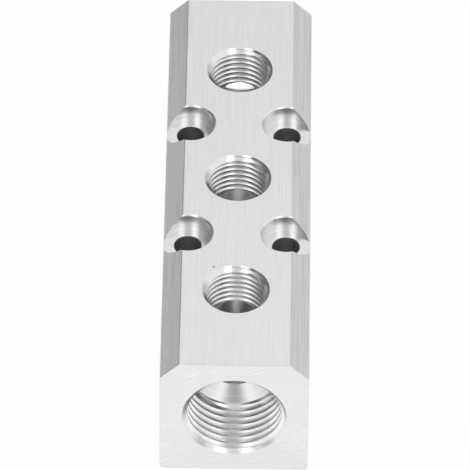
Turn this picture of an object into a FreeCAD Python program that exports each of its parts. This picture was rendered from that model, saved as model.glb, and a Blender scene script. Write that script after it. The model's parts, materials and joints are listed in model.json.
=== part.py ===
import FreeCAD, Part
import os

import Sketcher

# Air manifold block: a length of square aluminium bar with its two top edges bevelled.
# A gallery runs through it from end to end. An inlet port is bored and countersunk in
# each end, a row of outlet ports runs from the top face down into the gallery, and a pair
# of counterbored screw holes passes right through between each two outlets.
# X runs across the bar, Y along it and Z up. The origin is the centre of the base.

PART_NAME = "manifold_block"

# Driving sizes, in millimetres and degrees: alias, value, meaning.
DRIVING_SIZES = (
    ("BarWidth", 30.0, "width of the bar"),
    ("BarHeight", 30.0, "base to top face"),
    ("BevelLeg", 3.9, "leg of the 45 degree bevel along each top edge"),
    ("BevelBlend", 0.4, "radius along both edges of a bevel"),
    ("BaseCorner", 0.9, "radius along each base edge"),
    ("EndBreak", 0.2, "broken edge round each end face"),
    ("OutletCount", 3, "outlets in the row"),
    ("OutletPitch", 32.5, "outlet to outlet, centre to centre"),
    ("EndMargin", 21.5, "end face to the centre of the outlet next to it"),
    ("GalleryHeight", 15.0, "base to the axis of the gallery"),
    ("GalleryBore", 12.0, "diameter of the gallery"),
    ("InletDrill", 19.0, "diameter of an inlet before its thread is cut"),
    ("InletDepth", 13.2, "end face to the end of an inlet's straight wall"),
    ("InletMouth", 21.1, "diameter of an inlet's countersink at the end face"),
    ("OutletDrill", 11.8, "diameter of an outlet before its thread is cut"),
    ("OutletMouth", 13.7, "diameter of an outlet's countersink at the top face"),
    ("SinkAngle", 90.0, "included angle of the countersinks and broken seat edges"),
    ("DrillAngle", 118.0, "included angle of the drill points"),
    ("ScrewHole", 5.6, "diameter of a screw hole"),
    ("ScrewSpan", 20.0, "screw hole to screw hole across the bar"),
    ("SeatBore", 10.0, "diameter of the counterbore that takes a screw head"),
    ("SeatMouth", 10.6, "diameter of a counterbore's broken edge at the top face"),
    ("SeatDepth", 3.75, "top face to the floor of a counterbore"),
)

# Sizes worked out from the driving ones: alias, formula, meaning.
DERIVED_SIZES = (
    ("OutletReach", "=OutletPitch * (OutletCount - 1) / 2", "middle of the bar to an end outlet"),
    ("ScrewReach", "=OutletPitch * (OutletCount - 2) / 2", "middle of the bar to an end pair of screws"),
    ("BarLength", "=2 * (OutletReach + EndMargin)", "overall length"),
    ("InletSink", "=(InletMouth - InletDrill) / 2 / tan(SinkAngle / 2)", "depth of an inlet's sink"),
    ("InletCone", "=(InletDrill - GalleryBore) / 2 / tan(DrillAngle / 2)", "length of an inlet's drill cone"),
    ("OutletSink", "=(OutletMouth - OutletDrill) / 2 / tan(SinkAngle / 2)", "depth of an outlet's sink"),
    ("SeatSink", "=(SeatMouth - SeatBore) / 2 / tan(SinkAngle / 2)", "depth of a seat's broken edge"),
    ("OutletPoint", "=OutletDrill / 2 / tan(DrillAngle / 2)", "height of the drill cone that ends an outlet"),
)

# How far, in millimetres, an edge may lie from the line on which it is looked for.
FIND_WITHIN = 1e-4


def add_sizes(doc):
    """Put every size in one spreadsheet, each in a cell with a name of its own."""
    sheet = doc.addObject("Spreadsheet::Sheet", "Sizes")
    for row, (alias, content, meaning) in enumerate(DRIVING_SIZES + DERIVED_SIZES, start=1):
        sheet.set(f"A{row}", alias)
        sheet.set(f"B{row}", str(content))
        sheet.set(f"C{row}", meaning)
        sheet.setAlias(f"B{row}", alias)
    doc.recompute()
    return sheet


def origin_part(body, role):
    """The plane or axis of the body's origin that has the given role."""
    return next(item for item in body.Origin.OriginFeatures if item.Role == role)


def add_sketch(body, name, plane, shift_x="0", shift_y="0", lift="0"):
    """A sketch on one of the body's origin planes, moved in that plane and off it by formulas."""
    sketch = body.newObject("Sketcher::SketchObject", name)
    sketch.AttachmentSupport = [(origin_part(body, plane), "")]
    sketch.MapMode = "FlatFace"
    for axis, formula in (("x", shift_x), ("y", shift_y), ("z", lift)):
        if formula != "0":
            sketch.setExpression(f".AttachmentOffset.Base.{axis}", formula)
    return sketch


def hold_point(sketch, geometry, point, name, across, up):
    """Dimension one point of a sketch from the sketch's own origin, by two formulas."""
    for kind, axis, formula in (("DistanceX", -2, across), ("DistanceY", -1, up)):
        if formula == "0":
            sketch.addConstraint(Sketcher.Constraint("PointOnObject", geometry, point, axis))
            continue
        value = float(sketch.evalExpression(formula))
        index = sketch.addConstraint(Sketcher.Constraint(kind, -1, 1, geometry, point, value))
        label = f"{name}{kind[-1]}"
        sketch.renameConstraint(index, label)
        sketch.setExpression(f"Constraints.{label}", formula)


def draw_outline(sketch, corners):
    """A closed outline of straight lines, from the name and two formulas of each corner."""
    places = []
    for _, across, up in corners:
        places.append(FreeCAD.Vector(
            float(sketch.evalExpression(across)), float(sketch.evalExpression(up)), 0))
    count = len(corners)
    for index in range(count):
        sketch.addGeometry(Part.LineSegment(places[index], places[(index + 1) % count]), False)
    for index in range(count):
        sketch.addConstraint(
            Sketcher.Constraint("Coincident", index, 2, (index + 1) % count, 1))
    for index, (name, across, up) in enumerate(corners):
        hold_point(sketch, index, 1, name, across, up)


def draw_circle(sketch, name, across, up, diameter):
    """A circle, from the formulas of its centre and its diameter."""
    centre = FreeCAD.Vector(
        float(sketch.evalExpression(across)), float(sketch.evalExpression(up)), 0)
    width = float(sketch.evalExpression(diameter))
    index = sketch.addGeometry(
        Part.Circle(centre, FreeCAD.Vector(0, 0, 1), width / 2), False)
    hold_point(sketch, index, 3, name, across, up)
    held = sketch.addConstraint(Sketcher.Constraint("Diameter", index, width))
    sketch.renameConstraint(held, f"{name}Diameter")
    sketch.setExpression(f"Constraints.{name}Diameter", diameter)


def edges_through(feature, points):
    """Names of a feature's straight edges along the bar that pass through the given (x, z) points."""
    names = []
    for number, edge in enumerate(feature.Shape.Edges, start=1):
        if abs(edge.tangentAt(edge.FirstParameter).y) < 0.999:
            continue
        middle = edge.valueAt((edge.FirstParameter + edge.LastParameter) / 2)
        for across, up in points:
            if abs(middle.x - across) < FIND_WITHIN and abs(middle.z - up) < FIND_WITHIN:
                names.append(f"Edge{number}")
    return names


def edges_of_ends(feature, half_length):
    """Names of the edges that lie wholly in one of the bar's two end planes."""
    names = []
    for number, edge in enumerate(feature.Shape.Edges, start=1):
        box = edge.BoundBox
        for end in (-half_length, half_length):
            if abs(box.YMin - end) < FIND_WITHIN and abs(box.YMax - end) < FIND_WITHIN:
                names.append(f"Edge{number}")
    return names


def dress_edges(body, kind, name, base, edges, size_property, alias):
    """Round or bevel the named edges of a feature by one of the sizes."""
    feature = body.newObject(kind, name)
    feature.Base = (base, edges)
    feature.setExpression(size_property, f"Sizes.{alias}")
    return feature


def make_bar(doc, body, sheet):
    """The plain bar: bevelled section, blended edges and broken ends, before any hole."""
    section = add_sketch(body, "BarSection", "XZ_Plane")
    draw_outline(section, (
        ("BaseLeft", "-Sizes.BarWidth / 2", "0"),
        ("BaseRight", "Sizes.BarWidth / 2", "0"),
        ("SideRight", "Sizes.BarWidth / 2", "Sizes.BarHeight - Sizes.BevelLeg"),
        ("TopRight", "Sizes.BarWidth / 2 - Sizes.BevelLeg", "Sizes.BarHeight"),
        ("TopLeft", "Sizes.BevelLeg - Sizes.BarWidth / 2", "Sizes.BarHeight"),
        ("SideLeft", "-Sizes.BarWidth / 2", "Sizes.BarHeight - Sizes.BevelLeg"),
    ))
    bar = body.newObject("PartDesign::Pad", "Bar")
    bar.Profile = section
    bar.Midplane = True
    bar.setExpression("Length", "Sizes.BarLength")
    doc.recompute()

    half_width = sheet.BarWidth / 2
    top = sheet.BarHeight
    bevel_edges = []
    for side in (-1, 1):
        bevel_edges.append((side * half_width, top - sheet.BevelLeg))
        bevel_edges.append((side * (half_width - sheet.BevelLeg), top))
    blended = dress_edges(body, "PartDesign::Fillet", "BevelBlends", bar,
                          edges_through(bar, bevel_edges), "Radius", "BevelBlend")
    doc.recompute()
    base_edges = [(-half_width, 0), (half_width, 0)]
    rounded = dress_edges(body, "PartDesign::Fillet", "BaseCorners", blended,
                          edges_through(blended, base_edges), "Radius", "BaseCorner")
    doc.recompute()
    dress_edges(body, "PartDesign::Chamfer", "EndBreaks", rounded,
                edges_of_ends(rounded, sheet.BarLength / 2), "Size", "EndBreak")
    doc.recompute()


def revolve_cut(doc, body, name, sketch, axis):
    """Turn a sketch through a full turn about one of its own axes and take it away."""
    groove = body.newObject("PartDesign::Groove", name)
    groove.Profile = sketch
    groove.ReferenceAxis = (sketch, [axis])
    groove.Angle = 360
    doc.recompute()
    return groove


def cut_gallery(doc, body):
    """The bore from end to end: countersink, inlet wall, drill cone and gallery, the same both ways."""
    sketch = add_sketch(body, "GallerySection", "YZ_Plane", shift_y="Sizes.GalleryHeight")
    steps = (
        ("Axis", "Sizes.BarLength / 2", "0"),
        ("Mouth", "Sizes.BarLength / 2", "Sizes.InletMouth / 2"),
        ("WallStart", "Sizes.BarLength / 2 - Sizes.InletSink", "Sizes.InletDrill / 2"),
        ("WallEnd", "Sizes.BarLength / 2 - Sizes.InletDepth", "Sizes.InletDrill / 2"),
        ("ConeEnd", "Sizes.BarLength / 2 - Sizes.InletDepth - Sizes.InletCone", "Sizes.GalleryBore / 2"),
    )
    front = [(f"Front{name}", f"-({along})", radius) for name, along, radius in steps]
    back = [(f"Back{name}", along, radius) for name, along, radius in reversed(steps)]
    draw_outline(sketch, front + back)
    return [revolve_cut(doc, body, "Gallery", sketch, "H_Axis")]


def repeat_along_bar(doc, body, name, feature, count):
    """Repeat a cut towards +Y, one outlet pitch apart."""
    row = body.newObject("PartDesign::LinearPattern", name)
    row.Originals = [feature]
    row.Direction = (origin_part(body, "Y_Axis"), [""])
    row.Mode = "Spacing"
    row.setExpression("Offset", "Sizes.OutletPitch")
    row.setExpression("Occurrences", count)
    body.Tip = row
    doc.recompute()
    return row


def cut_outlets(doc, body):
    """The outlet ports: each is drilled from the top face until its wall meets the gallery's axis."""
    sketch = add_sketch(body, "OutletSection", "YZ_Plane", shift_x="-Sizes.OutletReach")
    draw_outline(sketch, (
        ("MouthAxis", "0", "Sizes.BarHeight"),
        ("MouthRim", "Sizes.OutletMouth / 2", "Sizes.BarHeight"),
        ("WallStart", "Sizes.OutletDrill / 2", "Sizes.BarHeight - Sizes.OutletSink"),
        ("WallEnd", "Sizes.OutletDrill / 2", "Sizes.GalleryHeight"),
        ("PointTip", "0", "Sizes.GalleryHeight - Sizes.OutletPoint"),
    ))
    outlet = revolve_cut(doc, body, "Outlet", sketch, "V_Axis")
    return [outlet, repeat_along_bar(doc, body, "Outlets", outlet, "Sizes.OutletCount")]


def cut_screw_holes(doc, body):
    """Pairs of counterbored through holes, each pair midway between two outlets."""
    sketch = add_sketch(body, "ScrewCentres", "XY_Plane", shift_y="-Sizes.ScrewReach",
                        lift="Sizes.BarHeight")
    draw_circle(sketch, "Left", "-Sizes.ScrewSpan / 2", "0", "Sizes.ScrewHole")
    draw_circle(sketch, "Right", "Sizes.ScrewSpan / 2", "0", "Sizes.ScrewHole")
    pair = body.newObject("PartDesign::Hole", "ScrewPair")
    pair.Profile = sketch
    doc.recompute()
    pair.DepthType = "ThroughAll"
    pair.HoleCutType = "Counterbore"
    pair.HoleCutCustomValues = True
    pair.setExpression("Diameter", "Sizes.ScrewHole")
    pair.setExpression("HoleCutDiameter", "Sizes.SeatBore")
    pair.setExpression("HoleCutDepth", "Sizes.SeatDepth")
    doc.recompute()
    return [pair, repeat_along_bar(doc, body, "ScrewPairs", pair, "Sizes.OutletCount - 1")]


def break_seat_edges(doc, body):
    """Bevel the rim of every counterbore, as far round as the top face reaches."""
    cuts = []
    for name, side in (("Left", "-"), ("Right", "")):
        sketch = add_sketch(body, f"SeatEdge{name}Section", "XZ_Plane",
                            shift_x=f"{side}Sizes.ScrewSpan / 2", lift="Sizes.ScrewReach")
        draw_outline(sketch, (
            ("MouthAxis", "0", "Sizes.BarHeight"),
            ("MouthRim", "Sizes.SeatMouth / 2", "Sizes.BarHeight"),
            ("WallStart", "Sizes.SeatBore / 2", "Sizes.BarHeight - Sizes.SeatSink"),
            ("WallAxis", "0", "Sizes.BarHeight - Sizes.SeatSink"),
        ))
        edge = revolve_cut(doc, body, f"SeatEdge{name}", sketch, "V_Axis")
        row = repeat_along_bar(doc, body, f"SeatEdges{name}", edge, "Sizes.OutletCount - 1")
        cuts += [edge, row]
    return cuts


def check_model(doc, body, cuts):
    """Stop if a feature failed, a cut took nothing away, or the block isn't one sound solid."""
    for item in doc.Objects:
        if "Invalid" in item.State or "Error" in item.State:
            raise RuntimeError(f"{item.Name} is {item.State}")
    for cut in cuts:
        print(cut.Name, "leaves", round(cut.Shape.Volume, 1), "cubic millimetres")
        if cut.Shape.Volume >= cut.BaseFeature.Shape.Volume:
            raise RuntimeError(f"{cut.Name} took nothing away")
    shape = body.Shape
    if shape.isNull() or not shape.isValid() or len(shape.Solids) != 1:
        raise RuntimeError("the block is not one valid solid")


def main():
    doc = FreeCAD.newDocument("ManifoldBlock")
    sheet = add_sizes(doc)
    body = doc.addObject("PartDesign::Body", "ManifoldBlock")
    body.Label = PART_NAME
    make_bar(doc, body, sheet)
    cuts = cut_gallery(doc, body)
    cuts += cut_outlets(doc, body)
    cuts += cut_screw_holes(doc, body)
    cuts += break_seat_edges(doc, body)
    check_model(doc, body, cuts)
    os.makedirs("parts", exist_ok=True)
    body.Shape.exportStep(f"parts/{body.Label}.step")
    box = body.Shape.BoundBox
    print("size", round(box.XLength, 3), round(box.YLength, 3), round(box.ZLength, 3))


main()
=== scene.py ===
import json
import logging
import math
from dataclasses import KW_ONLY, dataclass, field
from enum import Enum
from typing import Any, Callable, Sequence

import bpy
from mathutils import Matrix, Vector

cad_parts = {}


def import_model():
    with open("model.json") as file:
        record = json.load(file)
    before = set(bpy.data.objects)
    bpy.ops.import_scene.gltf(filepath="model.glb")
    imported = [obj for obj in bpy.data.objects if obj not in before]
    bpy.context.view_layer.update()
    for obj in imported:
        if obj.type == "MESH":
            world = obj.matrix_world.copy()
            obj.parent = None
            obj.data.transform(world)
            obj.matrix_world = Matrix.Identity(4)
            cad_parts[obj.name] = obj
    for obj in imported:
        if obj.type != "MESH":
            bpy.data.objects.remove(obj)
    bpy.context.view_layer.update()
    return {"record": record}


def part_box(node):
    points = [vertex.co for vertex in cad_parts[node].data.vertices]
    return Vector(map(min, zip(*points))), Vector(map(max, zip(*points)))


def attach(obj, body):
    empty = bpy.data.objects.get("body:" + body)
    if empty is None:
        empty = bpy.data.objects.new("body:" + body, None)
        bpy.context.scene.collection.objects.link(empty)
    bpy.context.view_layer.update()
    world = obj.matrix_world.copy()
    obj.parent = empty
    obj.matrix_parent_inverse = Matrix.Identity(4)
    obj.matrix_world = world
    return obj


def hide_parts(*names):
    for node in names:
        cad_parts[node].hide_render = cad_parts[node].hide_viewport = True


# Air manifold block: a square aluminium bar with bevelled top edges, cut here to the solid's
# sizes, with the pipe threads, tool marks and small broken edges that the solid leaves out.
# Lengths are in metres.

MM = 0.001
NODE = "manifold_block"

# Half the angle of a drill's point.
DRILL_POINT = math.radians(59)

# Half the angle between a pipe thread's flanks, then its full depth and root radius in pitches.
THREAD_FLANK = math.radians(27.5)
THREAD_DEPTH = 0.640327
THREAD_ROOT = 0.137329

# How far a cutter stands out of the surface that it opens.
OVERCUT = 1.0 * MM

# Values of a measure at which a soft change starts and at which it is whole.
Fade = tuple[float, float]

log = logging.getLogger("manifold")


class Finish(Enum):
    """The kinds of cut surface on the block, each with a material of its own."""

    BRUSHED = 0
    MILLED = 1
    INLET_TURNED = 2
    INLET_THREAD = 3
    GALLERY = 4
    OUTLET_TURNED = 5
    OUTLET_THREAD = 6
    SEAT = 7
    SCREW_BORE = 8


def math_operator(operation: str, swapped: bool = False) -> Callable[..., "Signal"]:
    """An operator of Signal that adds a Math node; swapped is for a plain number in front."""
    def apply(signal: "Signal", *others: Any) -> "Signal":
        """Add the node."""
        operands = (signal, *others)
        return signal.bench.math(operation, *(reversed(operands) if swapped else operands))
    return apply


class Signal:
    """A number that runs through a node tree; the usual operators on it add Math nodes."""

    __add__, __radd__ = math_operator("ADD"), math_operator("ADD", swapped=True)
    __sub__, __rsub__ = math_operator("SUBTRACT"), math_operator("SUBTRACT", swapped=True)
    __mul__, __rmul__ = math_operator("MULTIPLY"), math_operator("MULTIPLY", swapped=True)
    __truediv__ = math_operator("DIVIDE")
    __pow__ = math_operator("POWER")
    __abs__ = math_operator("ABSOLUTE")

    def __init__(self, bench: "Bench", socket: bpy.types.NodeSocket) -> None:
        """Wrap one output socket of a tree."""
        self.bench = bench
        self.socket = socket

    def __neg__(self) -> "Signal":
        """Opposite."""
        return self * -1.0


def blend(start: Any, end: Any, share: Signal) -> Signal:
    """One number where the share is nought, another where it is 1."""
    return start + share * (end - start)


def add_object(name: str, data: bpy.types.ID) -> bpy.types.Object:
    """Add an object to the scene."""
    made = bpy.data.objects.new(name, data)
    bpy.context.scene.collection.objects.link(made)
    return made


class Bench:
    """A node tree under construction."""

    def __init__(self, owner: bpy.types.Material | bpy.types.World) -> None:
        """Empty the tree of a material or world.

        Args:
            owner: the material or world whose nodes are made.
        """
        owner.use_nodes = True
        self.tree = owner.node_tree
        self.tree.nodes.clear()

    def put(self, kind: str, sockets: dict[Any, Any] | None = None, **settings: Any) -> bpy.types.Node:
        """Add one node.

        Args:
            kind: Blender's name of the node type.
            sockets: value, signal or output socket for each input, by name or index.
            settings: attributes of the node, set before its sockets.

        Returns:
            The new node.
        """
        node = self.tree.nodes.new(kind)
        for name, value in settings.items():
            setattr(node, name, value)
        for key, value in (sockets or {}).items():
            source = value.socket if isinstance(value, Signal) else value
            if isinstance(source, bpy.types.NodeSocket):
                self.tree.links.new(source, node.inputs[key])
            else:
                node.inputs[key].default_value = source
        return node

    def math(self, operation: str, *values: Any) -> Signal:
        """Add a Math node for signals or numbers and return its result."""
        node = self.put("ShaderNodeMath", dict(enumerate(values)), operation=operation)
        return Signal(self, node.outputs[0])

    def ramp(self, value: Signal, fade: Fade) -> Signal:
        """A smooth rise from 0 at the first value of a fade to 1 at its second, or a fall."""
        ends = {"From Min": fade[0], "From Max": fade[1], "To Min": 0.0, "To Max": 1.0}
        node = self.put("ShaderNodeMapRange", {"Value": value, **ends},
                        interpolation_type="SMOOTHSTEP")
        return Signal(self, node.outputs["Result"])

    def mask(self, *edges: tuple[Signal, float, float]) -> Signal:
        """One inside a patch; each edge is a measure, its value at the start and where it is whole."""
        return math.prod(self.ramp(measure, (start, whole)) for measure, start, whole in edges)

    def position(self, kind: str = "Object") -> tuple[Signal, Signal, Signal]:
        """Place on the object in metres, or a world's direction.

        Args:
            kind: output of the coordinate node: Object, or Generated in a world.

        Returns:
            X, Y and Z.
        """
        place = self.put("ShaderNodeTexCoord")
        parts = self.put("ShaderNodeSeparateXYZ", {0: place.outputs[kind]})
        return tuple(Signal(self, output) for output in parts.outputs)

    def join(self, x: Any, y: Any, z: Any) -> bpy.types.NodeSocket:
        """A vector from three numbers."""
        return self.put("ShaderNodeCombineXYZ", {0: x, 1: y, 2: z}).outputs[0]

    def ray(self, kind: str) -> Signal:
        """One for rays of a kind, such as Camera or Glossy, and nought for the others."""
        return Signal(self, self.put("ShaderNodeLightPath").outputs[f"Is {kind} Ray"])

    def noise(self, x: Any, y: Any, z: Any, detail: float = 2.0, rough: float = 0.5) -> Signal:
        """Noise about nought with a full swing of 1, of one wave for each step of x, y and z."""
        node = self.put("ShaderNodeTexNoise", {"Vector": self.join(x, y, z), "Scale": 1.0,
                                               "Detail": detail, "Roughness": rough},
                        noise_dimensions="3D")
        return Signal(self, node.outputs["Fac"]) - 0.5

    def grey(self, level: Signal) -> bpy.types.NodeSocket:
        """A colour of equal red, green and blue."""
        return self.put("ShaderNodeCombineColor", {0: level, 1: level, 2: level}).outputs[0]

    def vector(self, operation: str, sockets: dict[Any, Any]) -> bpy.types.NodeSocket:
        """Add a Vector Math node and return its result."""
        return self.put("ShaderNodeVectorMath", sockets, operation=operation).outputs[0]

    def lean(self, marks: Any, amount: Signal) -> bpy.types.NodeSocket:
        """The surface's normal, leant across marks that are too fine to be seen one by one.

        Args:
            marks: direction in which the marks run.
            amount: tangent of the lean.

        Returns:
            The normal.
        """
        normal = self.put("ShaderNodeNewGeometry").outputs["Normal"]
        across = self.vector("NORMALIZE", {0: self.vector("CROSS_PRODUCT", {0: normal, 1: marks})})
        shift = self.vector("SCALE", {0: across, "Scale": amount})
        return self.vector("NORMALIZE", {0: self.vector("ADD", {0: normal, 1: shift})})

    def bump(self, height: Signal, metres: float, normal: bpy.types.NodeSocket) -> bpy.types.NodeSocket:
        """The normal of a relief on a surface, so many metres high where its height is 1."""
        return self.put("ShaderNodeBump", {"Height": height, "Distance": metres,
                                           "Normal": normal}).outputs[0]


# Reflectance, roughness and normal.
Surface = tuple[Signal, Signal, bpy.types.NodeSocket]


@dataclass(frozen=True)
class Metal:
    """Bare aluminium, marked by the tool that a subclass stands for.

    Attributes:
        name: name of the material.
        tone: reflectance of the metal.
        rough: roughness of the surface between its marks.
        rough_swing: swing of the roughness over the surface.
        spread: how far the normal leans across the finest marks, as a tangent for a full swing.
        grain: width of the finest marks.
        grain_reach: their length where they run straight.
        relief: height of the marks that can be seen one by one.
    """

    name: str
    _: KW_ONLY
    tone: float = 0.84
    rough: float = 0.2
    rough_swing: float = 0.06
    spread: float = 0.5
    grain: float = 0.004 * MM
    grain_reach: float = 0.2 * MM
    relief: float = 0.002 * MM

    def build(self) -> bpy.types.Material:
        """Make the material.

        Returns:
            The new material.
        """
        material = bpy.data.materials.new(self.name)
        bench = Bench(material)
        shade, rough, normal = self.surface(bench)
        shader = bench.put("ShaderNodeBsdfPrincipled",
                           {"Base Color": bench.grey(shade), "Metallic": 1.0,
                            "Roughness": rough, "Normal": normal})
        bench.put("ShaderNodeOutputMaterial", {"Surface": shader.outputs[0]})
        return material

    def surface(self, bench: Bench) -> Surface:
        """Lay the tool's marks; each subclass does it in its own way.

        Args:
            bench: the material's node tree.

        Returns:
            Reflectance, roughness and normal.
        """
        raise NotImplementedError


@dataclass(frozen=True)
class Brushed(Metal):
    """Long faces of the bar, drawn and brushed along Y.

    Attributes:
        line: width of the finest brush line.
        line_reach: its length.
        line_swing: swing of the reflectance from line to line.
        streak: width of a broad streak.
        streak_reach: its length.
        streak_swing: swing of the reflectance from streak to streak.
        cloud: width of a faint cloud.
        cloud_reach: its length.
        cloud_swing: swing of the reflectance from cloud to cloud.
        side_swing: what lines and streaks gain on the bevels and long sides.
        side_from: fade of that gain by distance from the middle of the bar.
    """

    rough_swing: float = 0.05
    relief: float = 0.006 * MM
    line: float = 0.14 * MM
    line_reach: float = 10 * MM
    line_swing: float = 0.17
    streak: float = 0.45 * MM
    streak_reach: float = 30 * MM
    streak_swing: float = 0.05
    cloud: float = 4 * MM
    cloud_reach: float = 7 * MM
    cloud_swing: float = 0.03
    side_swing: float = 0.2
    side_from: Fade = (11.0 * MM, 11.4 * MM)

    def surface(self, bench: Bench) -> Surface:
        """Lay fine straight lines along the bar over broad, faint streaks."""
        x, y, z = bench.position()
        fine = bench.noise(x / self.line, y / self.line_reach, z / self.line, detail=3.0, rough=0.6)
        broad = bench.noise(x / self.streak, y / self.streak_reach, z / self.streak)
        micro = bench.noise(x / self.grain, y / self.grain_reach, z / self.grain)
        cloud = bench.noise(x / self.cloud, y / self.cloud_reach, z / self.cloud)
        side = bench.ramp(abs(x), self.side_from) * self.side_swing
        lines = fine * (self.line_swing + side) + broad * (self.streak_swing + side)
        shade = self.tone + lines + cloud * self.cloud_swing
        rough = self.rough + cloud * self.rough_swing
        normal = bench.lean((0.0, 1.0, 0.0), micro * self.spread)
        return shade, rough, bench.bump(fine, self.relief, normal)


@dataclass(frozen=True)
class Milled(Metal):
    """End faces, cut square and rubbed, with faint slanting marks and painted shade towards the base.

    Attributes:
        slant: tangent of the angle at which the marks rise to the right.
        bow: how far a mark bends, as its drop in metres one metre from the middle.
        line: width of a mark.
        length: length of a mark.
        bright: what the brightest marks gain in reflectance.
        bright_from: fade of that gain by the noise of the marks.
        patch: width of the patches in which marks are bright.
        patch_height: their height.
        patch_from: fade of the gain by the noise of the patches.
        cloud: size of a faint cloud.
        cloud_swing: swing of the reflectance from cloud to cloud.
        foot: height from which painted shade darkens the face downwards.
        foot_painted_shade: reflectance taken off at the base as painted shade, for the floor's shadow
            that the face mirrors.
    """

    relief: float = 0.004 * MM
    slant: float = 0.42
    bow: float = 6.0
    line: float = 0.28 * MM
    length: float = 6 * MM
    bright: float = 0.08
    bright_from: Fade = (0.02, 0.16)
    patch: float = 5 * MM
    patch_height: float = 3 * MM
    patch_from: Fade = (-0.08, 0.08)
    cloud: float = 6 * MM
    cloud_swing: float = 0.05
    foot: float = 12 * MM
    foot_painted_shade: float = 0.025

    def surface(self, bench: Bench) -> Surface:
        """Lay long, slightly bowed marks across the face, bright in patches, over painted shade near
        the base.
        """
        x, y, z = bench.position()
        level = z - x * self.slant + x * x * self.bow
        marks = bench.noise(level / self.line, x / self.length, y / self.length)
        cloud = bench.noise(x / self.cloud, z / self.cloud, y / self.cloud)
        micro = bench.noise(level / self.grain, x / self.grain_reach, y / self.grain)
        patches = bench.noise(x / self.patch, z / self.patch_height, y / self.patch)
        gain = bench.ramp(marks, self.bright_from) * bench.ramp(patches, self.patch_from) * self.bright
        # Painted shade: the face darkens towards the base, for the floor's shadow that it mirrors
        # there.
        painted_shade = bench.ramp(z, (self.foot, 0.0)) * self.foot_painted_shade
        shade = self.tone + cloud * self.cloud_swing + gain - painted_shade
        rough = self.rough + cloud * self.rough_swing
        normal = bench.lean((1.0, 0.0, self.slant), micro * self.spread)
        return shade, rough, bench.bump(marks, self.relief, normal)


class HoleAxis(Enum):
    """The holes that a turned finish runs round."""

    ALONG_BAR = "along the bar"
    OUTLETS = "down an outlet"
    SCREWS = "down a screw hole"


@dataclass(frozen=True)
class HolePattern:
    """Where the holes lie in the bar.

    Attributes:
        outlets: place of each outlet along the bar, evenly spaced about the middle.
        screw_x: screw hole to middle, across the bar.
        screw_y: screw hole to middle, along the bar.
        level: height of the gallery's axis.
    """

    outlets: tuple[float, ...]
    screw_x: float
    screw_y: float
    level: float


@dataclass(frozen=True)
class Turned(Metal):
    """Walls, cones and floors turned or drilled about a hole's axis.

    Attributes:
        holes: where the holes lie.
        axis: the holes that the marks run round.
        feed: spacing of the tool marks.
        streak: swing of the reflectance from ring to ring.
    """

    holes: HolePattern
    axis: HoleAxis = HoleAxis.ALONG_BAR
    _: KW_ONLY
    feed: float = 0.15 * MM
    streak: float = 0.14

    def _around(self, bench: Bench) -> tuple[Signal, Signal, bpy.types.NodeSocket]:
        """Find a point's place about the axis of the nearest hole.

        Args:
            bench: the material's node tree.

        Returns:
            Distance from the axis, place along it, and direction of the marks.
        """
        x, y, z = bench.position()
        if self.axis is HoleAxis.ALONG_BAR:
            up = z - self.holes.level
            return (x * x + up * up) ** 0.5, y, bench.join(up, 0.0, -x)
        if self.axis is HoleAxis.OUTLETS:
            reach = (self.holes.outlets[1] - self.holes.outlets[0]) / 2
            across, depth = x, bench.math("WRAP", y, reach, -reach)
        else:
            across = x - bench.math("SIGN", x) * self.holes.screw_x
            depth = y - bench.math("SIGN", y) * self.holes.screw_y
        return (across * across + depth * depth) ** 0.5, z, bench.join(-depth, across, 0.0)

    def surface(self, bench: Bench) -> Surface:
        """Lay rings about the axis."""
        distance, along, marks = self._around(bench)
        rings, micro = (bench.noise((distance - along) / width, (distance + along) / width, 0.0)
                        for width in (self.feed, self.grain))
        shade = self.tone + rings * self.streak
        rough = self.rough + rings * self.rough_swing
        normal = bench.lean(marks, micro * self.spread)
        return shade, rough, bench.bump(rings, self.relief, normal)


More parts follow.
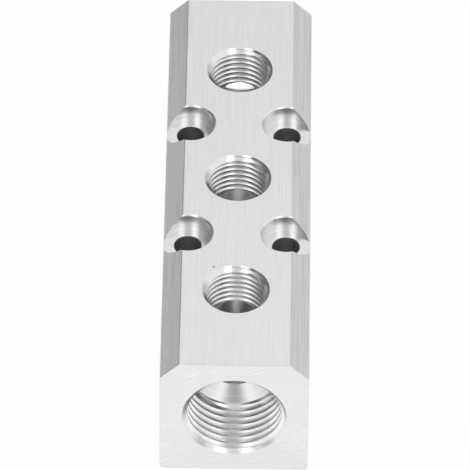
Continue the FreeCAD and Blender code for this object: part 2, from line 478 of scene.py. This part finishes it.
@dataclass
class Shell:
    """A closed mesh under construction, with a finish for every face.

    Attributes:
        points: corners.
        faces: indices of each face's corners, anticlockwise from outside.
        finishes: finish of each face.
    """

    points: list[tuple[float, float, float]] = field(default_factory=list)
    faces: list[tuple[int, ...]] = field(default_factory=list)
    finishes: list[Finish] = field(default_factory=list)

    def point(self, x: float, y: float, z: float) -> int:
        """Add a corner and return its index."""
        self.points.append((x, y, z))
        return len(self.points) - 1

    def face(self, corners: Sequence[int], finish: Finish) -> None:
        """Add a face."""
        self.faces.append(tuple(corners))
        self.finishes.append(finish)

    def bridge(self, lower: Sequence[int], upper: Sequence[int], finish: Finish) -> None:
        """Join two rings of equal count by a band of quads.

        Args:
            lower: ring further down the axis.
            upper: ring further up the axis.
            finish: finish of the band.
        """
        for index in range(len(lower)):
            after = (index + 1) % len(lower)
            self.face((lower[index], lower[after], upper[after], upper[index]), finish)

    def fan(self, ring: Sequence[int], tip: int, finish: Finish) -> None:
        """Close a ring, anticlockwise as the tip sees it, by triangles to that tip."""
        for index in range(len(ring)):
            self.face((ring[index], ring[(index + 1) % len(ring)], tip), finish)

    def ring(self, radius: float, height: float, count: int, start: int = 0) -> list[int]:
        """Add a circle about the Z axis, its first point some steps on from the X axis."""
        turn = 2 * math.pi / count
        return [self.point(radius * math.cos(i * turn), radius * math.sin(i * turn), height)
                for i in range(start, start + count)]

    def revolve(self, outline: Sequence[tuple[float, float, Finish]], count: int) -> None:
        """Add a closed body of revolution about the Z axis.

        Args:
            outline: (radius, height, finish of the band up to the next point), from low to high;
                the first and last points lie on the axis.
            count: points in a turn.
        """
        lowest = self.point(0.0, 0.0, outline[0][1])
        rings = [self.ring(radius, height, count) for radius, height, _ in outline[1:-1]]
        highest = self.point(0.0, 0.0, outline[-1][1])
        self.fan(list(reversed(rings[0])), lowest, outline[0][2])
        for below, above, (_, _, finish) in zip(rings, rings[1:], outline[1:]):
            self.bridge(below, above, finish)
        self.fan(rings[-1], highest, outline[-2][2])

    def build(self, name: str, place: Matrix, stock: Sequence[bpy.types.Material]) -> bpy.types.Object:
        """Make the object.

        Args:
            name: name of the object.
            place: where the shell's own frame lies in the block's.
            stock: one material for each finish, in order.

        Returns:
            A mesh object at the origin, with its place in its mesh.
        """
        mesh = bpy.data.meshes.new(name)
        mesh.from_pydata(self.points, [], self.faces)
        for material in stock:
            mesh.materials.append(material)
        for polygon, finish in zip(mesh.polygons, self.finishes):
            polygon.material_index = finish.value
        mesh.transform(place)
        mesh.update()
        return add_object(name, mesh)


# Name, place and shell of a solid that is cut out of the bar.
Cutter = tuple[str, Matrix, Shell]


@dataclass(frozen=True)
class PipeThread:
    """An inside parallel pipe thread of the 55 degree form.

    Attributes:
        major: radius at the root of the thread.
        pitch: turn to turn.
        steps: points in a turn.
        crest_round: radius to which the edges of a crest are worn.
        crest_spans: straight spans in each of those edges.
        root_spans: straight spans in the root.
    """

    major: float
    pitch: float
    steps: int = 96
    crest_round: float = 0.12 * MM
    crest_spans: int = 3
    root_spans: int = 4

    def profile(self, drill: float) -> list[tuple[float, float]]:
        """One turn's section: straight flanks, a round root in the form's usual share, worn crests.

        Args:
            drill: radius of the hole before the thread is cut.

        Returns:
            (offset along the axis, radius) from one crest, over the root, to the next crest.
        """
        middle = self.major - THREAD_DEPTH * self.pitch / 2
        gape = self.pitch / 4 - (drill - middle) * math.tan(THREAD_FLANK)
        root = THREAD_ROOT * self.pitch
        slope = math.pi / 2 - THREAD_FLANK
        crest_start = gape + self.crest_round * math.tan(slope / 2)
        crest_turns = [slope * index / self.crest_spans for index in range(self.crest_spans + 1)]
        crest = [(self.crest_round * math.sin(turn) - crest_start,
                  drill + self.crest_round * (1 - math.cos(turn))) for turn in crest_turns]
        root_turns = [slope * (2 * index / self.root_spans - 1) for index in range(self.root_spans + 1)]
        hollow = [(root * math.sin(turn), self.major - root * (1 - math.cos(turn)))
                  for turn in root_turns]
        return crest + hollow + [(-offset, radius) for offset, radius in reversed(crest)]


@dataclass(frozen=True)
class TappedHole:
    """A cutter for a drilled, tapped hole, with its mouth at height nought and its axis along Z.

    Attributes:
        thread: the thread.
        drill: radius of the drill.
        depth: mouth to the end of the straight wall.
        last_turn: mouth to the deepest turn of the thread.
        runout: turns over which the thread dies away at its deep end.
        wall: finish of the plain wall.
        cut: finish of the thread.
        start: steps from the X axis to the end of the deepest turn.
        corner: radius that the drill leaves at the end of the straight wall.
    """

    thread: PipeThread
    drill: float
    depth: float
    last_turn: float
    runout: float
    wall: Finish
    cut: Finish
    start: int = 0
    corner: float = 0.0

    def wall_end(self) -> float:
        """Mouth to the end of the straight wall, short of the drill's corner radius."""
        return self.depth - self.corner * math.tan(DRILL_POINT / 2)

    def ring(self, shell: Shell, radius: float, depth: float) -> list[int]:
        """Add a circle of points at a depth, in step with those of the thread."""
        return shell.ring(radius, -depth, self.thread.steps, self.start)

    def _limit(self, step: int) -> float:
        """Greatest radius of the thread at a step: the drill's at first, then the full one."""
        share = min(1.0, step / self.thread.steps / self.runout)
        return self.drill + (self.thread.major - self.drill) * share

    def add_to(self, shell: Shell) -> list[int]:
        """Add everything above the end of the straight wall.

        Args:
            shell: the shell that takes the faces.

        Returns:
            The ring of points at the end of the wall.
        """
        steps, pitch = self.thread.steps, self.thread.pitch
        rows = self.thread.profile(self.drill)
        last = steps * math.ceil((OVERCUT + self.last_turn) / pitch)
        grid: list[list[int]] = []
        for step in range(last + 1):
            angle = 2 * math.pi * ((step + self.start) % steps) / steps
            column = []
            for offset, radius in rows:
                reach = min(radius, self._limit(step))
                height = pitch * step / steps - self.last_turn + offset
                column.append(shell.point(reach * math.cos(angle), reach * math.sin(angle), height))
            grid.append(column)
        top = len(rows) - 1
        for step in range(last):
            here, after = grid[step], grid[step + 1]
            for row in range(top):
                shell.face((here[row], after[row], after[row + 1], here[row + 1]), self.cut)
            if step + steps < last:
                shell.face((here[top], after[top], grid[step + steps + 1][0],
                            grid[step + steps][0]), self.cut)
        self._cap_mouth(shell, grid)
        return self._close_wall(shell, grid)

    def _cap_mouth(self, shell: Shell, grid: list[list[int]]) -> None:
        """Close the open turn above the mouth by a fan to a point on the axis.

        Args:
            shell: the shell that takes the faces.
            grid: the thread's points, a column for each step.
        """
        upper = [column[-1] for column in grid[-1 - self.thread.steps:]]
        edge = upper + list(reversed(grid[-1][:-1]))
        height = shell.points[upper[-1]][2] + self.thread.pitch
        shell.fan(edge, shell.point(0.0, 0.0, height), self.wall)

    def _close_wall(self, shell: Shell, grid: list[list[int]]) -> list[int]:
        """Join the first turn to a level ring at the end of the wall.

        Args:
            shell: the shell that takes the faces.
            grid: the thread's points, a column for each step.

        Returns:
            The ring.
        """
        steps = self.thread.steps
        ring = self.ring(shell, self.drill, self.wall_end())
        for step in range(steps - 1):
            shell.face((ring[step], ring[step + 1], grid[step + 1][0], grid[step][0]), self.wall)
        seam = [ring[-1], ring[0]] + grid[0] + [grid[steps][0], grid[steps - 1][0]]
        shell.face(seam, self.wall)
        return ring


def countersink(mouth: float, drill: float, finish: Finish, steps: int = 192) -> Shell:
    """A 90 degree countersink with its mouth at height nought.

    Args:
        mouth: radius at the mouth.
        drill: radius of the hole that it leads into.
        finish: finish of the cone.
        steps: points in a turn.

    Returns:
        The cone, from above the mouth to inside the hole.
    """
    inner = drill - OVERCUT
    shell = Shell()
    shell.revolve(((0.0, inner - mouth, finish), (inner, inner - mouth, finish),
                   (mouth + OVERCUT, OVERCUT, finish), (0.0, OVERCUT, finish)), steps)
    return shell


@dataclass
class Bar:
    """The plain bar.

    Attributes:
        width: across the bar.
        length: along the bar.
        height: base to top face.
        bevel: leg of the bevel on each top edge.
        bevel_blend: radius along both edges of a bevel.
        base_corner: radius along each base edge.
        end_break: radius of the rubbed edge round each end.
        arc_spans: straight spans in each rounded corner.
        break_spans: straight spans in the rubbed edge of an end.
    """

    width: float
    length: float
    height: float
    bevel: float = 3.9 * MM
    bevel_blend: float = 0.4 * MM
    base_corner: float = 0.9 * MM
    end_break: float = 0.12 * MM
    arc_spans: int = 5
    break_spans: int = 3

    def _section(self, inset: float) -> list[tuple[float, float]]:
        """Draw the bar's outline, anticlockwise from the front.

        Args:
            inset: how far the outline is drawn in.

        Returns:
            Its points as (x, z).
        """
        half = self.width / 2 - inset
        low, top = inset, self.height - inset
        leg = self.bevel - inset * (2 - math.sqrt(2))
        corners = [(-half, low, self.base_corner), (half, low, self.base_corner),
                   (half, top - leg, self.bevel_blend), (half - leg, top, self.bevel_blend),
                   (leg - half, top, self.bevel_blend), (-half, top - leg, self.bevel_blend)]
        outline: list[tuple[float, float]] = []
        for index, (x, z, radius) in enumerate(corners):
            before = Vector(corners[index - 1][:2])
            after = Vector(corners[(index + 1) % len(corners)][:2])
            outline += self._round(Vector((x, z)), before, after, radius - inset)
        return outline

    def _round(self, corner: Vector, before: Vector, after: Vector,
               radius: float) -> list[tuple[float, float]]:
        """Round one corner of the outline.

        Args:
            corner: the sharp corner.
            before: the corner before it.
            after: the corner after it.
            radius: radius of the arc.

        Returns:
            Points of the arc.
        """
        to_before, to_after = (before - corner).normalized(), (after - corner).normalized()
        half_angle = to_before.angle(to_after) / 2
        centre = corner + (to_before + to_after).normalized() * (radius / math.sin(half_angle))
        start = corner + to_before * (radius / math.tan(half_angle)) - centre
        points = []
        for index in range(self.arc_spans + 1):
            turn = (math.pi - 2 * half_angle) * index / self.arc_spans
            points.append(tuple(centre + Matrix.Rotation(turn, 2) @ start))
        return points

    def build(self, stock: Sequence[bpy.types.Material]) -> bpy.types.Object:
        """Make the bar.

        Args:
            stock: one material for each finish, in order.

        Returns:
            The bar as a closed mesh.
        """
        shell = Shell()
        rings: list[list[int]] = []
        spans = list(range(self.break_spans + 1))
        for side, order in ((-1, spans), (1, reversed(spans))):
            for index in order:
                turn = math.pi / 2 * index / self.break_spans
                inset = self.end_break * (1 - math.sin(turn))
                along = side * (self.length / 2 - self.end_break * (1 - math.cos(turn)))
                rings.append([shell.point(x, along, z) for x, z in self._section(inset)])
        shell.face(rings[0], Finish.MILLED)
        for front, back in zip(rings, rings[1:]):
            shell.bridge(back, front, Finish.BRUSHED)
        shell.face(list(reversed(rings[-1])), Finish.MILLED)
        return shell.build("bar", Matrix.Identity(4), stock)


@dataclass
class Gallery:
    """The bore from end to end, with a tapped inlet in both ends.

    Attributes:
        inlet: cutter of an inlet.
        level: height of the gallery's axis.
        half_length: middle of the bar to an end face.
        mouth: radius of an inlet's countersink at the end face.
        bore: radius of the gallery.
        corner_spans: straight spans in the radius where an inlet's wall meets its cone.
    """

    inlet: TappedHole
    level: float
    half_length: float
    mouth: float = 10.55 * MM
    bore: float = 6.0 * MM
    corner_spans: int = 4

    def cutters(self) -> list[Cutter]:
        """Return the bore with its two tapped ends, and a countersink for each end."""
        shell = Shell()
        throat_depth = self.inlet.depth + (self.inlet.drill - self.bore) / math.tan(DRILL_POINT)
        throats = []
        for side in (-1, 1):
            first = len(shell.points)
            end = self.inlet.add_to(shell)
            for index in range(1, self.corner_spans + 1):
                turn = DRILL_POINT * index / self.corner_spans
                depth = self.inlet.wall_end() + self.inlet.corner * math.sin(turn)
                radius = self.inlet.drill - self.inlet.corner * (1 - math.cos(turn))
                deeper = self.inlet.ring(shell, radius, depth)
                shell.bridge(deeper, end, Finish.INLET_TURNED)
                end = deeper
            throat = self.inlet.ring(shell, self.bore, throat_depth)
            shell.bridge(throat, end, Finish.INLET_TURNED)
            throats.append(throat)
            place = self._place(side)
            for index in range(first, len(shell.points)):
                shell.points[index] = tuple(place @ Vector(shell.points[index]))
        front, back = throats
        matched = [back[-(index + 2 * self.inlet.start) % len(back)] for index in range(len(back))]
        shell.bridge(matched, front, Finish.GALLERY)
        sink = countersink(self.mouth, self.inlet.drill, Finish.INLET_TURNED)
        return [("gallery_cutter", Matrix.Identity(4), shell),
                ("inlet_sink_front", self._place(-1), sink),
                ("inlet_sink_back", self._place(1), sink)]

    def _place(self, side: int) -> Matrix:
        """Frame of an inlet whose mouth faces out of the front end (-1) or the back end (1)."""
        turn = Matrix.Rotation(-side * math.pi / 2, 4, "X")
        return Matrix.Translation((0.0, side * self.half_length, self.level)) @ turn


@dataclass
class OutletRow:
    """The tapped outlets along the top face.

    Attributes:
        hole: cutter of an outlet.
        top: height of the top face.
        places: place of each outlet along the bar.
        mouth: radius of the countersink at the top face.
    """

    hole: TappedHole
    top: float
    places: Sequence[float]
    mouth: float = 6.85 * MM

    def cutters(self) -> list[Cutter]:
        """Return a drilled and tapped hole and a countersink for each outlet."""
        shell = Shell()
        end = self.hole.add_to(shell)
        tip = -(self.hole.depth + self.hole.drill / math.tan(DRILL_POINT))
        shell.fan(list(reversed(end)), shell.point(0.0, 0.0, tip), Finish.OUTLET_TURNED)
        sink = countersink(self.mouth, self.hole.drill, Finish.OUTLET_TURNED)
        made = []
        for number, along in enumerate(self.places, start=1):
            place = Matrix.Translation((0.0, along, self.top))
            made.append((f"outlet_cutter_{number}", place, shell))
            made.append((f"outlet_sink_{number}", place, sink))
        return made


@dataclass
class ScrewHoles:
    """The counterbored screw holes that run from the top face to the base.

    Attributes:
        hole: radius of a hole.
        top: height of the top face.
        places: (x, y) of each hole.
        seat: radius of a counterbore.
        mouth: radius of its broken edge at the top face.
        seat_depth: top face to the floor of a counterbore.
        edge: width of a hole's broken edges.
        steps: points in a turn.
    """

    hole: float
    top: float
    places: Sequence[tuple[float, float]]
    seat: float = 5.0 * MM
    mouth: float = 5.3 * MM
    seat_depth: float = 3.75 * MM
    edge: float = 0.1 * MM
    steps: int = 96

    def cutters(self) -> list[Cutter]:
        """Return one cutter for each hole."""
        bore, seat = Finish.SCREW_BORE, Finish.SEAT
        floor = self.top - self.seat_depth
        outline = (
            (0.0, -OVERCUT, bore),
            (self.hole + self.edge + OVERCUT, -OVERCUT, bore),
            (self.hole, self.edge, bore),
            (self.hole, floor - self.edge, bore),
            (self.hole + self.edge, floor, seat),
            (self.seat, floor, seat),
            (self.seat, self.top - self.mouth + self.seat, seat),
            (self.mouth + OVERCUT, self.top + OVERCUT, seat),
            (0.0, self.top + OVERCUT, seat),
        )
        shell = Shell()
        shell.revolve(outline, self.steps)
        return [(f"screw_cutter_{number}", Matrix.Translation((across, along, 0.0)), shell)
                for number, (across, along) in enumerate(self.places, start=1)]


@dataclass
class Knock:
    """A tiny pit knocked into the top face beside the front outlet.

    Attributes:
        top: height of the top face.
        across: its place across the bar.
        along: its place along the bar.
        radius: radius at the surface.
        depth: depth of the pit.
        waist: radius where its wall turns into its bottom.
        waist_depth: depth of that turn.
        flare: radius of the cutter as far above the surface as the pit is deep.
        steps: points in a turn.
    """

    top: float
    across: float = -4.61 * MM
    along: float = -26.11 * MM
    radius: float = 0.3 * MM
    depth: float = 0.22 * MM
    waist: float = 0.165 * MM
    waist_depth: float = 0.176 * MM
    flare: float = 0.36 * MM
    steps: int = 16

    def cutters(self) -> list[Cutter]:
        """Return the pit's cutter, alone in a list."""
        section = ((0.0, -self.depth), (self.waist, -self.waist_depth), (self.radius, 0.0),
                   (self.flare, self.depth), (0.0, self.depth))
        shell = Shell()
        shell.revolve([(radius, height, Finish.SCREW_BORE) for radius, height in section], self.steps)
        return [("knock_cutter", Matrix.Translation((self.across, self.along, self.top)), shell)]


@dataclass
class ManifoldBlock:
    """The whole block, sized from the record's mounts and the CAD node's box.

    Attributes:
        record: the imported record.
        low: lowest corner of the node.
        high: highest corner of the node.
    """

    record: dict[str, Any]
    low: Vector
    high: Vector

    def _mount(self, name: str) -> dict[str, Any]:
        """The record's mount of the given name."""
        return next(mount for mount in self.record["mounts"] if mount["name"] == name)

    def _drill(self, name: str) -> float:
        """Radius of the drill for a tapped hole."""
        return self._mount(name)["dims"]["r_mm"] * MM

    def _inlet(self) -> TappedHole:
        """Cutter of an inlet, with its G 1/2 thread."""
        return TappedHole(PipeThread(major=10.4775 * MM, pitch=1.814 * MM, steps=128),
                          drill=self._drill("inlet_front"), depth=13.2 * MM,
                          last_turn=12.3 * MM, runout=0.3, wall=Finish.INLET_THREAD,
                          cut=Finish.INLET_THREAD, start=74, corner=0.25 * MM)

    def _outlet(self) -> TappedHole:
        """Cutter of an outlet, with its G 1/4 thread."""
        return TappedHole(PipeThread(major=6.5785 * MM, pitch=1.337 * MM),
                          drill=self._drill("outlet_middle"), depth=15.0 * MM,
                          last_turn=9.989 * MM, runout=1.0, wall=Finish.OUTLET_TURNED,
                          cut=Finish.OUTLET_THREAD)

    def _holes(self) -> HolePattern:
        """Where the holes lie, from the record's mounts."""
        outlets = [self._mount(f"outlet_{name}")["pos_m"][1] for name in ("front", "middle", "back")]
        screws = self._mount("screw_holes")["dims"]
        return HolePattern(tuple(outlets), screws["spacing_x_mm"] * MM / 2,
                           screws["spacing_y_mm"] * MM / 2, self._mount("inlet_front")["pos_m"][2])

    def _stock(self, holes: HolePattern) -> list[bpy.types.Material]:
        """Make one material for each finish.

        Args:
            holes: where the holes lie.

        Returns:
            The materials, in the order of the enum.
        """
        outlets, screws = HoleAxis.OUTLETS, HoleAxis.SCREWS
        metals = {
            Finish.BRUSHED: Brushed("bar_brushed", tone=0.82),
            Finish.MILLED: Milled("end_milled"),
            Finish.INLET_TURNED: Turned("inlet_turned", holes, feed=0.4 * MM, relief=0.006 * MM),
            Finish.INLET_THREAD: Turned("inlet_thread", holes, tone=0.92, rough=0.18, spread=0.9),
            Finish.GALLERY: Turned("gallery_drilled", holes, rough=0.3),
            Finish.OUTLET_TURNED: Turned("outlet_turned", holes, outlets, rough=0.13),
            Finish.OUTLET_THREAD: Turned("outlet_thread", holes, outlets, rough=0.15, spread=0.9),
            Finish.SEAT: Turned("seat_milled", holes, screws, spread=1.1, feed=0.3 * MM,
                                relief=0.008 * MM, streak=0.4),
            Finish.SCREW_BORE: Turned("screw_hole_drilled", holes, screws, tone=0.6, rough=0.45),
        }
        return [metals[finish].build() for finish in Finish]

    def build(self) -> bpy.types.Object:
        """Cut the block from the bar and dress it.

        Returns:
            The finished block.
        """
        holes = self._holes()
        stock = self._stock(holes)
        size, top = self.high - self.low, self.high.z
        block = Bar(size.x, size.y, size.z).build(stock)
        log.info("bar %.0f mm long", size.y / MM)
        gallery = Gallery(self._inlet(), holes.level, size.y / 2)
        outlets = OutletRow(self._outlet(), top, holes.outlets)
        screw_radius = self._mount("screw_holes")["dims"]["hole_r_mm"] * MM
        corners = [(x, y) for x in (-holes.screw_x, holes.screw_x)
                   for y in (-holes.screw_y, holes.screw_y)]
        screw_holes = ScrewHoles(screw_radius, top, corners)
        for step in (gallery, outlets, screw_holes, Knock(top)):
            for name, place, shell in step.cutters():
                log.info("cut %s", name)
                cut_out(block, shell.build(name, place, stock))
        shade_edges(block)
        block.name = "manifold_block_finish"
        return block


def freeze(target: bpy.types.Object) -> None:
    """Apply an object's modifiers to its mesh."""
    graph = bpy.context.evaluated_depsgraph_get()
    solid = bpy.data.meshes.new_from_object(target.evaluated_get(graph), depsgraph=graph)
    target.modifiers.clear()
    target.data = solid


def cut_out(target: bpy.types.Object, cutter: bpy.types.Object) -> None:
    """Cut one closed mesh out of another for good and drop the cutter.

    Args:
        target: the object that is cut.
        cutter: the object that is taken away.
    """
    tool = target.modifiers.new("cut", "BOOLEAN")
    tool.operation = "DIFFERENCE"
    tool.solver = "MANIFOLD"
    tool.object = cutter
    freeze(target)
    bpy.data.objects.remove(cutter, do_unlink=True)


def shade_edges(target: bpy.types.Object, crease: float = math.radians(32), weight: int = 80) -> None:
    """Shade an object smooth except at its edges, with normals that follow the larger faces.

    Args:
        target: the object.
        crease: least angle between two faces that show an edge.
        weight: how strongly the larger faces count, from 1 to 100.
    """
    target.data.shade_smooth()
    target.data.set_sharp_from_angle(angle=crease)
    weigh = target.modifiers.new("weigh_normals", "WEIGHTED_NORMAL")
    weigh.keep_sharp = True
    weigh.weight = weight
    freeze(target)


@dataclass(frozen=True)
class Studio:
    """The room round the block, as levels of white by direction, and the floor under it.

    Attributes:
        wall: level of the walls beside and in front of the block.
        back_wall: level of the wall behind the block, at its foot.
        back_right: what that wall gains above its foot at the right.
        screen: level of the dark screen at the left.
        post: level of two low posts in front, one on each side.
        ceiling: level of the diffuser overhead and behind.
        ceiling_tilt: degrees by which the diffuser reaches further down behind than in front.
        box: level of two soft boxes that lean over the block from the front, near the floor.
        box_top: their level higher up.
        gap: level of the gap between them, where the camera stands, near the floor.
        gap_top: its level higher up.
        floor_size: side of the floor.
        floor_gap: distance of the floor below the base.
        paper: reflectance of the floor.
        floor_glow: share of the floor's white that shadow doesn't reach.
        painted_light_pool: fade by distance of a painted pool of light on the floor, which only the
            metal's reflections show.
        painted_pool_loss: share of the painted white lost far out.
    """

    wall: float = 0.92
    back_wall: float = 0.55
    back_right: float = 0.2
    screen: float = 0.15
    post: float = 0.28
    ceiling: float = 1.05
    ceiling_tilt: float = 7.0
    box: float = 1.1
    box_top: float = 1.55
    gap: float = 0.38
    gap_top: float = 0.75
    floor_size: float = 12.0
    floor_gap: float = 0.01 * MM
    paper: float = 0.8
    floor_glow: float = 0.97
    painted_light_pool: Fade = (150 * MM, 375 * MM)
    painted_pool_loss: float = 0.8

    def build(self) -> None:
        """Set the scene's world and lay the floor."""
        self._light_room()
        self._lay_floor()

    def _light_room(self) -> None:
        """Set the world's light by direction; the camera itself sees plain white."""
        world = bpy.data.worlds.new("studio")
        bpy.context.scene.world = world
        bench = Bench(world)
        x, y, z = bench.position("Generated")
        degrees = math.degrees(1)
        tilt = math.radians(self.ceiling_tilt)

        # A direction's measures, in degrees: azimuth from the camera's side, positive to the right;
        # height over the level and over the tilted diffuser's; offset from the upright plane along
        # the bar; swing upwards from the level in front and on over the top.
        azimuth = bench.math("ARCTAN2", x, -y) * degrees
        height = bench.math("ARCSINE", z) * degrees
        overhead = bench.math("ARCSINE", z * math.cos(tilt) + y * math.sin(tilt)) * degrees
        offset = bench.math("ARCSINE", x) * degrees
        swing = bench.math("ARCTAN2", z, -y) * degrees

        # The screen has a low opening in front and a slot further back.
        opening = bench.mask((azimuth, -90, -62), (height, 34, 26))
        slot = bench.mask((azimuth, -110, -126), (height, 16, 28), (height, 39, 27))
        screen = bench.mask((azimuth, -154, -146), (azimuth, -43, -51), (height, 58, 46))
        screen = screen * (1 - opening) * (1 - slot)
        posts = bench.mask((abs(azimuth), 48, 52), (abs(azimuth), 60, 56), (height, 26, 18))
        ceiling = bench.mask((overhead, 36, 62), (offset, -37, -23))
        boxes = bench.mask((swing, 122, 106), (abs(offset), 35, 23))

        rise = bench.mask((swing, 16, 40))
        box, gap = blend(self.box, self.box_top, rise), blend(self.gap, self.gap_top, rise)
        box_and_gap = blend(gap, box, bench.mask((abs(offset), 5, 20)))
        back = self.back_wall + bench.mask((azimuth, 60, 120), (height, 4, 25)) * self.back_right
        level = blend(self.wall, back, bench.mask((abs(azimuth), 100, 130)))
        for patch, wanted in ((screen, self.screen), (posts, self.post), (ceiling, self.ceiling),
                              (boxes, box_and_gap), (bench.ray("Camera"), 1.0)):
            level = blend(level, wanted, patch)
        background = bench.put("ShaderNodeBackground", {"Color": bench.grey(level)})
        bench.put("ShaderNodeOutputWorld", {"Surface": background.outputs[0]})

    def _lay_floor(self) -> None:
        """Make the pale floor, which shows as white and keeps the block's shadow, with a painted pool
        of light in the metal's reflections.
        """
        half = self.floor_size / 2
        mesh = bpy.data.meshes.new("floor")
        mesh.from_pydata([(x, y, -self.floor_gap) for x, y in
                          ((-half, -half), (half, -half), (half, half), (-half, half))],
                         [], [(0, 1, 2, 3)])
        floor = add_object("floor", mesh)
        material = bpy.data.materials.new("floor_white")
        bench = Bench(material)
        x, y, _ = bench.position()
        # Painted pool of light: for glossy rays the floor's white fades with distance from the block.
        near = 1 - bench.ramp((x * x + y * y) ** 0.5, self.painted_light_pool) * self.painted_pool_loss
        seen = bench.math("MAXIMUM", bench.ray("Camera"), bench.ray("Glossy") * near)
        seen = bench.math("MAXIMUM", seen, bench.ray("Transmission"))
        paper = bench.put("ShaderNodeBsdfDiffuse", {"Color": (*(self.paper,) * 3, 1.0)})
        white = bench.put("ShaderNodeEmission", {"Color": (1.0, 1.0, 1.0, 1.0)})
        mix = bench.put("ShaderNodeMixShader", {0: seen * self.floor_glow, 1: paper.outputs[0],
                                                2: white.outputs[0]})
        bench.put("ShaderNodeOutputMaterial", {"Surface": mix.outputs[0]})
        mesh.materials.append(material)


@dataclass(frozen=True)
class PhotoCamera:
    """The photograph's camera, as fitted to the block's edges and hole rims.

    Attributes:
        azimuth: degrees to the right of the bar's front end.
        elevation: degrees above the floor.
        roll: degrees of turn about the view direction.
        distance: camera to the aim.
        aim_right: how far the aim lies left of the view's middle.
        aim_up: how far the aim lies below the view's middle.
        focal_pixels: focal length in the photograph's pixels.
        photo_side: side of the square photograph, in pixels.
        target: middle of the block.
        sensor: width of the camera's sensor, in millimetres.
        far: how far the camera sees.
    """

    azimuth: float = 0.328
    elevation: float = 44.375
    roll: float = 0.589
    distance: float = 1364.87 * MM
    aim_right: float = 0.50 * MM
    aim_up: float = 1.054 * MM
    focal_pixels: float = 6596.4
    photo_side: int = 470
    target: tuple[float, float, float] = (0.0, 0.0, 15 * MM)
    sensor: float = 36.0
    far: float = 50.0

    def build(self) -> None:
        """Make the camera and use it."""
        around, lift = math.radians(self.azimuth), math.radians(self.elevation)
        back = Vector((math.sin(around) * math.cos(lift), -math.cos(around) * math.cos(lift),
                       math.sin(lift)))
        level_right = Vector((0.0, 0.0, 1.0)).cross(back).normalized()
        level_up = back.cross(level_right)
        turn = math.radians(self.roll)
        right = level_right * math.cos(turn) + level_up * math.sin(turn)
        up = level_up * math.cos(turn) - level_right * math.sin(turn)
        place = Vector(self.target) + back * self.distance - right * self.aim_right - up * self.aim_up
        data = bpy.data.cameras.new("photo_camera")
        data.sensor_width = self.sensor
        data.lens = self.focal_pixels / self.photo_side * self.sensor
        data.clip_end = self.far
        camera = add_object("photo_camera", data)
        axes = Matrix((right, up, back)).transposed()
        camera.matrix_world = Matrix.Translation(place) @ axes.to_4x4()
        bpy.context.scene.camera = camera


def main() -> None:
    """Build the block, its studio and its camera."""
    logging.basicConfig(level=logging.INFO, format="%(name)s: %(message)s")
    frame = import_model()
    low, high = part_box(NODE)
    block = ManifoldBlock(frame["record"], Vector(low), Vector(high)).build()
    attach(block, "root")
    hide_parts(NODE)
    log.info("block: %d faces", len(block.data.polygons))
    Studio().build()
    log.info("studio laid out")
    PhotoCamera().build()
    log.info("camera placed")
    bpy.context.scene.view_settings.view_transform = "Standard"
    bpy.context.view_layer.update()


if __name__ == "__main__":
    main()
